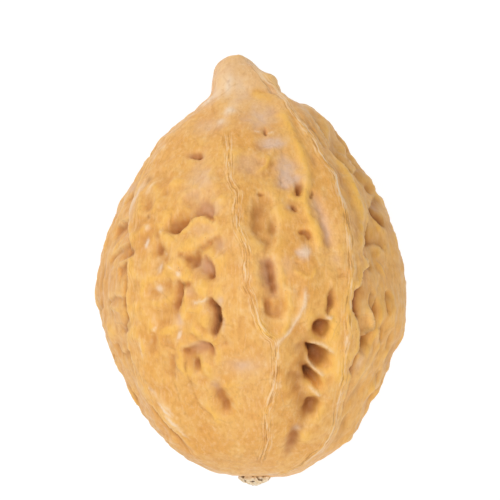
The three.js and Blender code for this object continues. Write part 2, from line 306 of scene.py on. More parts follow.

# Oval bumps and dents: x, y, half across, half along, height, then the lean and the edge where they
# aren't 0 and 2, then the tints. In these tables a lone number for tints is a shade: painted shade, partly
# also browner colour, in dents, grooves and folds.
SPOTS = [
    # The tip.
    (-1.2, 19.7, 0.8, 0.5, 0.12, 0), (2.0, 17.4, 0.7, 0.9, 0.35, -15, 0),
    (1.9, 16.2, 0.6, 0.6, -0.06, dict(pale=0.1)), (0.9, 15.9, 0.8, 0.5, 0.0, 30, dict(pale=-0.5, warm=0.4)),
    (6.6, 14.6, 1.5, 1.0, -0.15, 0), (8.4, 12.3, 1.2, 1.2, -0.16, 0),
    (0.8, 15.8, 0.9, 0.6, 0.03, dict(warm=0.9)), (1.9, 17.7, 0.5, 0.5, 0.0, dict(warm=0.6)),
    (3.3, 15.4, 0.5, 0.4, 0.03, dict(warm=0.7)), (3.2, 13.6, 0.5, 1.4, 0.06, -20, dict(warm=0.5)),
    (4.6, 10.6, 0.4, 1.3, 0.05, dict(warm=0.6)), (-3.9, 13.2, 1.2, 0.9, -0.06, dict(bloom=0.5, shade=0.05)),
    (-2.2, 17.6, 0.7, 1.2, 0.02, dict(pale=0.28)), (-1.6, 15.0, 0.5, 1.4, 0.02, 20, dict(pale=0.3)),
    (-3.4, 15.9, 0.8, 1.2, 0.0, 30, dict(pale=0.5)), (-1.0, 16.6, 0.9, 0.9, 0.0, dict(pale=0.35)),
    (-0.4, 15.8, 0.8, 0.8, -0.06, dict(bloom=0.3)),
    (0.8, 14.0, 1.4, 1.5, -0.14, dict(bloom=0.75, shade=0.08)),
    (-2.45, 13.6, 0.7, 0.7, -0.05, dict(bloom=0.35)), (-1.6, 14.3, 0.5, 0.4, 0.06, dict(pale=0.3)),
    (-2.1, 15.3, 0.5, 0.4, 0.06, 0), (2.3, 15.6, 0.8, 0.6, 0.1, dict(warm=0.5)),
    (1.5, 11.65, 0.8, 0.6, -0.1, dict(bloom=0.95)), (2.6, 11.6, 0.7, 0.6, -0.06, dict(bloom=0.8)),
    (0.9, 11.2, 0.8, 0.4, -0.05, 0.14), (2.65, 10.7, 0.35, 0.3, -0.06, 0.12),
    # The upper middle.
    (-0.3, 9.7, 1.25, 1.15, -0.2, 0, 3, dict(shade=0.08, bloom=0.35)),
    (3.3, 9.5, 0.95, 1.2, -0.12, 0, 3, dict(bloom=0.9)), (3.5, 8.3, 1.15, 0.9, -0.14, 0, 3, dict(bloom=0.9)),
    (3.0, 7.75, 0.5, 0.5, -0.08, dict(bloom=0.4)), (3.45, 5.75, 0.4, 0.25, -0.05, 20, dict(bloom=0.6)),
    (0.95, 4.6, 1.05, 1.9, -0.14, 6, 2.6, dict(shade=0.14, skew=(0.35, 0))), (2.0, 4.1, 0.4, 0.7, -0.1, 0.2),
    (1.45, 2.5, 0.6, 0.7, -0.1, 0.14), (1.75, 5.3, 0.35, 0.5, 0.1, 0),
    (2.4, 6.3, 0.8, 0.9, 0.1, dict(warm=0.2)), (4.7, 3.0, 0.45, 0.4, -0.12, 0.2),
    (4.8, 1.8, 0.5, 0.6, 0.03, 0, 2.5, dict(pale=0.4, bloom=1.0)),
    (5.25, 1.9, 0.3, 0.3, 0.03, dict(pale=0.3)),
    (4.35, 1.66, 0.3, 0.32, -0.1, 0, 3, dict(bloom=0.8, shade=0.1)), (4.2, 0.75, 0.35, 0.12, -0.1, 25, 0.3),
    # The left half.
    (-5.04, 10.53, 0.95, 0.28, -0.2, 8, dict(shade=0.3, bloom=0.3)),
    (-4.72, 10.35, 0.26, 0.2, -0.12, 10, 0.3), (-4.9, 9.0, 0.55, 2.2, -0.12, 10, dict(bloom=0.25)),
    (-3.2, 9.5, 0.9, 2.4, 0.12, 6, dict(warm=0.2)), (-6.9, 7.3, 0.8, 1.9, 0.12, 12, dict(warm=0.35)),
    (-6.4, 4.2, 0.9, 0.6, -0.36, 0, 2.5, dict(shade=0.26, skew=(0, -0.35))),
    (-6.55, 3.82, 0.38, 0.25, -0.25, 10, 0.35),
    (-3.95, 5.7, 1.2, 0.95, -0.28, 0, 2.6, dict(shade=0.06, bloom=0.4, skew=(0.2, -0.4))),
    (-3.7, 5.0, 0.95, 0.3, -0.12, 0.14),
    (-4.0, 0.4, 0.8, 0.75, -0.36, 0, 2.6, dict(shade=0.16, bloom=0.45, skew=(0.35, -0.2))),
    (-3.52, -0.25, 0.3, 0.38, -0.25, -10, 0.4), (-3.78, 1.85, 0.5, 0.5, 0.2, dict(warm=0.6)),
    (-5.6, -0.35, 0.5, 0.4, 0.15, dict(warm=0.4)), (-4.2, -1.45, 0.65, 0.5, 0.2, dict(warm=0.6)),
    (-5.78, -3.75, 0.35, 1.0, 0.22, dict(warm=0.6)), (-4.55, -4.0, 0.8, 1.0, 0.25, dict(warm=0.3)),
    (-3.3, -4.2, 0.5, 1.3, -0.2, 0.25), (-2.95, -3.9, 0.2, 1.1, -0.2, -8, 0.5),
    # The grey band at (-2.45, -4.55) is painted light on the slit's lit right wall, in the bloom colour.
    (-2.45, -4.55, 0.22, 0.7, -0.15, dict(bloom=0.5, shade=0.1)),
    (-4.5, -6.65, 1.1, 0.55, -0.28, 8, 2.4, dict(shade=0.16, bloom=0.4, skew=(0, 0.3))),
    (-6.8, -8.2, 0.35, 0.8, -0.14, -5, 0.12), (-6.0, -8.0, 0.5, 0.8, 0.12, dict(warm=0.3)),
    (-3.0, -10.2, 0.45, 0.6, -0.1, -15, dict(bloom=0.45)), (-2.4, -11.7, 0.45, 1.0, -0.12, -20, 0.3),
    (-3.0, -13.0, 0.4, 0.8, 0.14, -20, dict(warm=0.55)), (-10.85, 1.75, 0.35, 0.5, -0.3, 0.35),
    (-11.5, 1.4, 0.6, 0.4, -0.15, 0.12), (-11.5, -3.9, 0.3, 0.3, -0.1, dict(warm=0.5)),
    (-9.0, 4.75, 0.5, 0.45, -0.12, 0.15),
    # The lower middle and the right half.
    (2.1, -3.1, 0.9, 1.2, -0.14, 0, 2.6, 0.06),
    (1.5, 0.1, 0.7, 1.4, -0.1, 0, 2.4, dict(shade=0.1, bloom=0.35)), (2.2, -1.5, 0.3, 0.7, -0.08, -8, 0.2),
    (1.5, -3.1, 0.35, 0.8, -0.14, 0.28), (2.5, -3.3, 0.3, 0.6, -0.08, 0.1),
    (3.4, -2.8, 0.35, 1.1, 0.12, dict(warm=0.7)), (-0.7, -8.4, 1.4, 0.8, -0.08, dict(bloom=0.6, shade=0.08)),
    (-4.0, 8.4, 0.9, 1.0, -0.08, dict(bloom=0.55)), (-5.2, 7.0, 0.9, 0.7, 0.0, dict(bloom=0.3)),
    (-10.45, 6.4, 0.4, 2.0, 0.0, 12, dict(pale=0.5, bloom=0.3)),
    (-2.7, -2.6, 0.35, 0.5, 0.0, dict(bloom=0.7)), (-2.6, 2.4, 0.6, 0.7, -0.08, dict(bloom=0.45, shade=0.1)),
    (-6.3, -4.2, 0.35, 0.6, 0.0, dict(bloom=0.5)),
    (-5.4, -1.8, 0.5, 0.5, -0.08, dict(bloom=0.45, shade=0.1)),
    (10.0, -8.2, 0.5, 1.0, -0.05, dict(bloom=0.5)), (11.4, 5.7, 0.4, 0.6, 0.0, dict(bloom=0.5)),
    (-4.2, 3.6, 0.9, 0.6, 0.0, dict(bloom=0.3)), (7.6, 1.2, 0.5, 0.6, 0.0, dict(bloom=0.3)),
    (3.3, 0.6, 0.6, 0.8, 0.0, dict(bloom=0.3)), (3.56, -9.1, 0.5, 0.9, -0.16, 0.2),
    (4.5, -6.55, 0.3, 0.3, -0.1, 0.15), (7.9, -9.0, 0.5, 1.0, 0.1, dict(warm=0.5)),
    (7.3, -5.4, 0.45, 1.0, 0.14, dict(warm=0.5)), (5.2, -4.0, 0.6, 1.0, 0.12, dict(warm=0.3)),
    (4.3, -14.2, 0.3, 0.3, 0.02, dict(pale=0.7)), (4.9, -14.9, 0.6, 0.7, 0.16, dict(warm=0.3)),
    (10.27, 0.65, 0.35, 0.4, 0.2, dict(pale=0.2)), (11.04, 0.46, 0.5, 0.5, -0.2, 0.22),
    (11.4, -3.6, 0.6, 1.1, -0.35, 0, 3, 0.22),
    (9.5, 8.0, 0.7, 0.8, -0.15, 0, 2.5, dict(bloom=0.4, shade=0.1, warm=0.3)),
    (9.0, 9.7, 0.5, 0.5, -0.1, dict(shade=0.3, warm=0.3)), (10.86, 7.5, 0.6, 0.6, -0.3, 0, 3, 0.25),
    (10.7, 3.0, 0.5, 1.0, -0.22, 0.15), (10.3, -6.2, 0.7, 0.9, -0.1, dict(shade=0.3, warm=0.3)),
    (10.1, 4.4, 0.4, 0.8, 0.0, 0.16), (11.0, 5.4, 0.8, 1.0, -0.1, dict(shade=0.14, warm=0.3)),
    (10.4, -1.6, 0.9, 1.3, 0.0, 0.14), (11.9, -3.0, 0.6, 1.2, 0.0, dict(shade=0.12, warm=0.3)),
    (10.2, 8.9, 0.8, 0.7, 0.0, dict(shade=0.12, warm=0.4)), (7.5, 11.1, 0.5, 0.3, -0.12, 30, 0.2),
    # The long warm spot at (7.6, -6.5) is painted light on the slope right of the pits, which is turned from
    # the key light.
    (7.6, -6.5, 0.5, 4.0, 0.05, -5, dict(warm=0.5)), (6.8, 13.6, 0.8, 0.7, 0.0, 30, dict(warm=0.5)),
    (4.0, -11.5, 0.7, 1.4, -0.06, -10, 0.08), (6.2, -1.2, 0.7, 1.0, -0.05, dict(shade=0.06, warm=0.3)),
    # At (8.7, 6.2) and (9.4, 8.6) the collar right of the seam is painted warmer and less shaded: painted
    # light.
    (2.9, 4.9, 0.8, 0.7, 0.08, dict(warm=0.5)), (8.7, 6.2, 0.45, 1.5, 0.0, -10, dict(warm=0.7, shade=-0.4)),
    (9.4, 8.6, 0.6, 0.8, 0.04, -20, dict(warm=0.2, shade=-0.2)), (9.6, 6.2, 0.75, 2.0, 0.34, -10, 0),
    (9.0, 8.2, 0.8, 1.5, 0.2, -20, 0), (4.9, 7.9, 0.45, 0.9, 0.05, dict(pale=0.12, shade=-0.2)),
    (6.6, 4.0, 0.5, 1.6, 0.02, -20, dict(shade=-0.3, pale=0.06)), (-10.2, 3.7, 0.5, 0.7, -0.05, 0.26),
    # Dents with brown painted shade, partly the shell's browner colour, and wider swells of the left half,
    # between its creases.
    (-8.35, 3.3, 0.25, 0.4, -0.1, 0.3), (-8.2, 2.0, 0.2, 0.25, -0.06, 0.3),
    (-7.5, 3.85, 0.6, 0.3, -0.12, 0.3), (-7.2, -1.2, 0.5, 0.8, -0.1, 0.16),
    (-7.5, -3.1, 0.6, 0.5, -0.1, 0.2), (-6.7, -3.6, 0.35, 0.6, -0.1, 0.26),
    (-4.0, -5.2, 0.5, 0.4, -0.06, 0.14), (-5.0, -5.95, 0.7, 0.3, -0.06, 0.16),
    (-9.2, 0.4, 0.3, 0.6, -0.05, dict(shade=0.1, warm=0.4)), (-7.6, 5.6, 0.5, 0.4, -0.08, 0.14),
    (-9.0, 8.2, 0.35, 0.7, -0.06, 20, 0.2), (-3.8, 4.4, 0.5, 0.3, 0.06, dict(warm=0.5)),
    (-1.5, 8.0, 0.3, 0.5, -0.03, 0.16), (0.9, 7.0, 0.35, 0.16, -0.08, 0.3),
    (0.7, 5.4, 0.5, 0.8, -0.08, 0.14), (-1.5, 10.5, 0.6, 1.0, 0.05, dict(warm=0.3)),
    (0.0, 10.6, 0.6, 0.6, 0.05, dict(warm=0.3)), (-8.3, -3.4, 1.1, 1.6, 0.12, 0),
    (-8.1, 1.6, 0.8, 1.0, -0.14, 0.08), (-7.4, 0.4, 0.5, 0.9, 0.14, 20, dict(warm=0.2)),
    (-7.2, -5.2, 0.7, 0.45, 0.16, -30, dict(warm=0.4)), (-7.6, -6.6, 1.0, 0.5, -0.12, -20, 0.1),
    (-8.6, -5.9, 0.5, 0.6, -0.12, 0.08), (-5.2, 7.2, 0.8, 0.9, 0.14, dict(warm=0.3)),
    (-7.9, 4.0, 0.6, 0.8, 0.12, dict(warm=0.2)), (-5.3, 2.2, 0.6, 0.5, 0.14, dict(warm=0.2)),
    (-2.3, 1.8, 0.6, 1.2, 0.1, 0), (-2.6, -2.2, 0.5, 0.6, 0.14, dict(warm=0.3)),
    (-5.2, -5.4, 1.0, 0.3, 0.16, 10, dict(warm=0.3)), (-5.6, -8.9, 0.5, 0.8, 0.14, dict(warm=0.3)),
    (-3.9, -8.6, 0.4, 0.7, 0.14, dict(warm=0.3)), (-1.2, -11.0, 0.8, 1.6, 0.1, 0),
    (-4.0, -12.0, 0.5, 0.9, 0.08, -20, 0),
]

# Crests and grooves: places, half width, height, taper, tints. A shade tint in a groove is painted shade.
LINES = [
    # Round the tip.
    ([(1.3, 13.15), (1.3, 12.7), (1.42, 12.25)], 0.13, -0.28, 0.3, 0.4),
    ([(0.25, 12.75), (0.7, 12.65), (1.1, 12.55)], 0.1, 0.05, 0.3, dict(pale=0.5)),
    ([(1.5, 12.5), (1.9, 12.5), (2.3, 12.57)], 0.1, 0.05, 0.3, dict(pale=0.5)),
    ([(0.6, 18.1), (1.45, 17.0), (2.35, 15.9), (3.5, 15.0)], 0.26, -0.14, 0.25, 0.14),
    ([(4.4, 14.1), (4.95, 13.1), (5.4, 12.5)], 0.12, -0.08, 0.3, 0.2),
    # The upper middle.
    ([(1.8, 10.7), (1.71, 10.16), (1.34, 9.52), (0.88, 9.06), (0.3, 8.78)],
     0.24, 0.14, 0.25, dict(warm=0.4)),
    ([(2.15, 10.2), (1.95, 9.3), (1.75, 8.4)], 0.28, -0.1, 0.3, 0.16),
    ([(3.4, 7.1), (3.65, 6.6), (4.2, 6.32), (4.8, 6.45)], 0.24, 0.12, 0.25, dict(warm=0.6)),
    ([(5.6, 7.3), (5.45, 6.9), (5.28, 6.55)], 0.13, -0.3, 0.25, 0.65),
    ([(5.65, 7.2), (5.78, 6.1), (6.42, 4.9), (6.7, 3.8), (7.07, 2.68), (7.25, 1.6)],
     0.5, -0.18, 0.3, dict(bloom=0.45, shade=0.02)),
    ([(2.96, 15.1), (3.35, 13.6), (3.75, 12.1), (4.6, 10.4), (5.05, 8.6), (4.85, 6.8)],
     0.6, 0.15, 0.2, dict(warm=0.4)),
    ([(5.0, 9.4), (5.0, 8.2), (4.85, 6.8), (5.0, 5.4), (5.6, 4.2), (6.1, 2.9), (6.3, 1.8)],
     0.45, 0.16, 0.15, dict(warm=0.8)),
    ([(3.5, 14.6), (4.1, 13.0), (4.8, 11.6), (5.6, 10.2), (6.2, 8.6)], 0.5, -0.12, 0.2, 0.1),
    ([(0.3, 12.4), (0.6, 10.8), (0.9, 9.2), (0.9, 7.6)], 0.9, -0.1, 0.3, 0.04),
    ([(4.15, 3.42), (4.57, 3.62), (5.04, 3.5), (5.22, 3.14), (5.08, 2.6)], 0.18, -0.35, 0.25, 0.5),
    ([(3.65, 0.4), (4.2, -0.1), (4.94, -0.46), (5.6, -0.28), (5.8, 0.6)], 0.22, 0.09, 0.2, dict(warm=0.3)),
    ([(2.7, -0.7), (3.2, -1.39), (3.9, -1.76), (4.57, -1.57)], 0.22, 0.08, 0.25, dict(pale=0.15)),
    ([(7.0, 0.0), (7.6, -0.35), (8.2, -0.3), (8.5, 0.1)], 0.2, -0.1, 0.3, 0.14),
    # The left half.
    ([(-6.6, 3.33), (-5.96, 3.65), (-5.4, 4.2), (-4.85, 4.6), (-4.2, 4.75), (-3.5, 4.5)],
     0.24, 0.16, 0.2, dict(warm=0.3)),
    ([(-4.4, 2.5), (-3.56, 2.96), (-2.8, 3.3)], 0.2, -0.1, 0.3, 0.16),
    ([(-4.6, 2.8), (-4.65, 1.8), (-4.75, 0.9), (-5.1, 0.3)], 0.4, -0.14, 0.25, 0.2),
    ([(-6.7, 1.6), (-5.9, 1.3), (-5.1, 0.8)], 0.32, -0.22, 0.3, 0.4),
    ([(-6.9, -0.75), (-6.3, -1.5), (-6.2, -2.4), (-6.5, -3.1), (-7.1, -3.7)], 0.38, -0.16, 0.25, 0.2),
    ([(-6.2, -0.95), (-5.78, -1.13), (-5.0, -0.9)], 0.25, -0.2, 0.25, 0.4),
    ([(-5.9, -1.0), (-5.75, -1.9), (-5.8, -2.7)], 0.18, 0.14, 0.3, 0),
    ([(-5.4, -2.6), (-4.85, -2.73), (-4.2, -2.63), (-3.5, -2.2)], 0.11, 0.12, 0.25, dict(pale=0.6)),
    ([(-3.65, -6.2), (-3.5, -6.9), (-3.2, -7.8)], 0.2, -0.18, 0.25, 0.32),
    ([(-6.5, -6.85), (-5.9, -7.1), (-5.3, -7.5)], 0.18, -0.12, 0.3, 0.2),
    ([(-3.2, -9.6), (-2.75, -10.8), (-2.25, -12), (-1.75, -13.2)], 0.6, -0.22, 0.3, 0.16),
    ([(-5.5, -10.0), (-4.85, -11.3), (-4.3, -12.2), (-3.65, -12.75), (-3.1, -13.4)], 0.1, -0.06, 0.2, 0.42),
    ([(-7.3, -9.2), (-6.6, -10.6), (-6.2, -12.2), (-5.2, -13.6)], 0.1, -0.06, 0.2, 0.3),
    ([(-5.8, -7.4), (-5.7, -8.6), (-5.5, -9.6), (-4.9, -10.6)], 0.1, -0.05, 0.2, 0.35),
    ([(-12.28, 4.34), (-11.69, 4.64), (-11.17, 4.93)], 0.25, 0.22, 0.3, dict(pale=0.1)),
    ([(-11.91, 2.05), (-11.39, 2.42), (-10.8, 2.86)], 0.25, 0.25, 0.3, dict(pale=0.1)),
    ([(-12.06, 0.57), (-11.54, 0.87), (-10.73, 1.09)], 0.22, 0.22, 0.3, dict(pale=0.1)),
    ([(-13, -3.05), (-12.4, -3.42), (-11.9, -3.64)], 0.2, 0.18, 0.3, dict(pale=0.2)),
    ([(-12.0, -3.3), (-11.5, -3.2), (-11.1, -3.8), (-10.95, -4.9), (-11.2, -5.7)], 0.16, -0.18, 0.2, 0.25),
    ([(-8.3, -10.8), (-7.25, -13), (-6.3, -14.8)], 0.3, 0.1, 0.25, dict(pale=0.3)),
    ([(-9.3, -11.8), (-8, -13.5), (-6.5, -15.2), (-4.9, -16.8)], 0.5, -0.22, 0.2, 0.2),
    # The lower middle.
    ([(1.71, 1.7), (1.75, 0.3), (1.8, -0.83), (2.1, -1.76), (2.3, -2.7)],
     0.6, -0.2, 0.22, dict(shade=0.12, bloom=0.3)),
    ([(1.7, 1.3), (1.9, 0.1), (2.1, -1.1), (2.25, -2.1)], 0.25, -0.1, 0.25, 0.26),
    ([(2.55, 0.7), (2.75, -0.4), (2.75, -1.6)], 0.2, 0.1, 0.3, 0),
    ([(0.7, -3.7), (1.06, -5.0), (1.8, -5.64), (2.54, -5.64), (3.19, -4.9), (3.65, -3.6)],
     0.3, 0.12, 0.25, dict(warm=0.5)),
    ([(4.4, -13.3), (3.95, -14.6), (3.65, -15.6), (3.35, -16.6), (3.1, -17.4)],
     0.55, -0.25, 0.5, dict(shade=0.45, bloom=0.2)),
    ([(5.3, -4.4), (4.9, -6.0), (4.5, -8.0), (4.3, -10.0), (4.6, -11.8), (4.1, -13.8), (3.4, -16.2)],
     0.75, -0.12, 0.2, 0.24),
    # The right side.
    # The collar's crest, painted warmer and less shaded: painted light.
    ([(7.0, 11.0), (8.05, 9.5), (8.6, 8.2), (9.25, 6.5), (9.6, 5.1), (9.8, 3.6), (9.65, 1.6)],
     0.5, 0.22, 0.15, dict(warm=0.8, shade=-0.3)),
    ([(5.0, 14.6), (5.8, 13.8), (6.5, 12.7), (7.1, 11.8), (7.7, 11.1)], 0.18, 0.12, 0.25, dict(pale=0.4)),
    ([(4.9, 14.1), (5.6, 13.0), (6.4, 11.8), (7.0, 10.7)], 0.25, -0.12, 0.25, 0.22),
    ([(8.0, 11.2), (8.9, 10.6), (9.7, 10.1)], 0.14, 0.12, 0.25, dict(pale=0.3)),
    ([(7.4, 9.6), (7.9, 8.6), (8.3, 7.2)], 0.25, -0.06, 0.25, 0.12),
    ([(9.6, 0.85), (9.58, 0), (9.5, -0.9)], 0.27, -0.18, 0.3, dict(shade=0.2, warm=0.5)),
    ([(9.95, -1.2), (9.55, -2.3), (9.45, -3.3), (9.75, -4.4)], 0.55, -0.45, 0.25, 0.36),
    ([(10.3, -2.9), (10.78, -4.4), (10.9, -5.1), (10.34, -5.45), (9.7, -5.8)],
     0.24, 0.3, 0.2, dict(pale=0.25)),
    ([(11.4, -5.1), (11.5, -5.9), (11.4, -6.8)], 0.2, 0.2, 0.3, dict(pale=0.25)),
    ([(9.7, -7.1), (9.3, -8.0), (8.95, -9.2)], 0.5, -0.28, 0.3, 0.24),
    ([(7.5, 10.35), (8.35, 10.1), (9.0, 9.7), (9.4, 9.1)], 0.42, -0.28, 0.25, dict(shade=0.25, warm=0.3)),
    ([(11.1, 5.9), (11.3, 5.2), (11.7, 4.6), (12.1, 4.0)], 0.42, -0.35, 0.25, 0.3),
    ([(10.95, 5.2), (11.35, 4.4), (11.75, 3.5)], 0.2, 0.16, 0.3, 0),
    ([(9.2, 11.2), (10.1, 10.2), (10.7, 9.2)], 0.3, 0.15, 0.3, 0),
    ([(12.0, 1.9), (11.4, 1.2), (11.9, 0.1), (12.4, -0.9)], 0.25, 0.14, 0.3, 0),
]

# Pits: rim, deepest place, depth, wall, shade.
PITS = [
    ([(7.25, -1.2), (7.5, -1.75), (7.62, -2.8), (7.45, -3.45), (7.05, -3.9), (6.78, -3.85), (6.68, -3.4),
     (6.85, -2.7), (7.0, -1.8)], (7.05, -3.2), 0.5, 0.9, 0.85),
    ([(5.55, -4.7), (5.95, -4.25), (6.5, -4.02), (6.9, -4.15), (7.12, -4.7), (7.15, -5.3), (6.95, -5.8),
     (6.5, -6.1), (6.1, -6.0), (5.65, -5.6), (5.45, -5.15)], (6.3, -4.9), 1.0, 0.8, 0.95),
    ([(4.95, -6.42), (5.6, -6.4), (6.3, -6.6), (6.95, -7.0), (7.35, -7.5), (7.25, -8.2), (6.8, -8.7),
     (6.1, -8.85), (5.6, -8.5), (5.28, -8.0), (5.22, -7.2)], (5.68, -7.3), 1.2, 0.9, 1.05),
    ([(4.55, -8.45), (5.0, -8.28), (5.45, -8.6), (5.95, -9.0), (6.4, -9.6), (6.55, -10.25), (6.1, -10.5),
     (5.5, -10.1), (5.0, -9.4), (4.7, -8.9)], (5.4, -9.25), 0.95, 0.85, 0.95),
    ([(5.0, -11.35), (5.5, -11.15), (6.05, -11.2), (6.4, -11.6), (6.2, -12.3), (6.0, -13.0), (5.4, -13.3),
     (4.8, -13.2), (4.6, -12.5)], (5.45, -11.9), 0.75, 1.05, 0.7),
    ([(9.7, -5.95), (10.4, -5.6), (10.9, -5.1), (11.2, -5.6), (11.2, -6.3), (10.9, -6.9), (10.4, -7.4),
     (10.05, -7.3), (9.85, -6.7)], (10.4, -6.1), 0.7, 0.8, 0.6),
    ([(4.0, 7.95), (4.5, 8.15), (4.75, 7.6), (4.72, 7.0), (4.5, 6.62), (4.1, 6.65), (3.98, 7.2)],
     (4.32, 7.0), 0.45, 0.9, 0.75),
    ([(3.6, 5.9), (3.9, 5.88), (4.2, 5.6), (4.28, 5.35), (4.0, 5.3), (3.7, 5.5)], (3.98, 5.58),
     0.35, 0.9, 0.9),
    ([(-5.0, -7.7), (-4.6, -7.6), (-4.35, -8.1), (-4.4, -8.9), (-4.75, -9.2), (-5.0, -8.7)], (-4.65, -8.3),
     0.4, 0.9, 0.6),
]
SEPTA = [
    [(4.9, -6.3), (5.6, -6.22), (6.3, -6.38), (6.8, -6.68), (7.3, -7.1), (7.75, -7.4)],
    [(4.95, -7.0), (5.1, -7.8), (5.3, -8.25), (5.85, -8.78), (6.4, -9.15), (6.95, -9.5)],
    [(5.0, -10.1), (5.55, -10.65), (6.1, -11.0), (6.5, -11.2)],
    [(6.5, -3.95), (6.9, -3.98), (7.3, -4.2)],
]
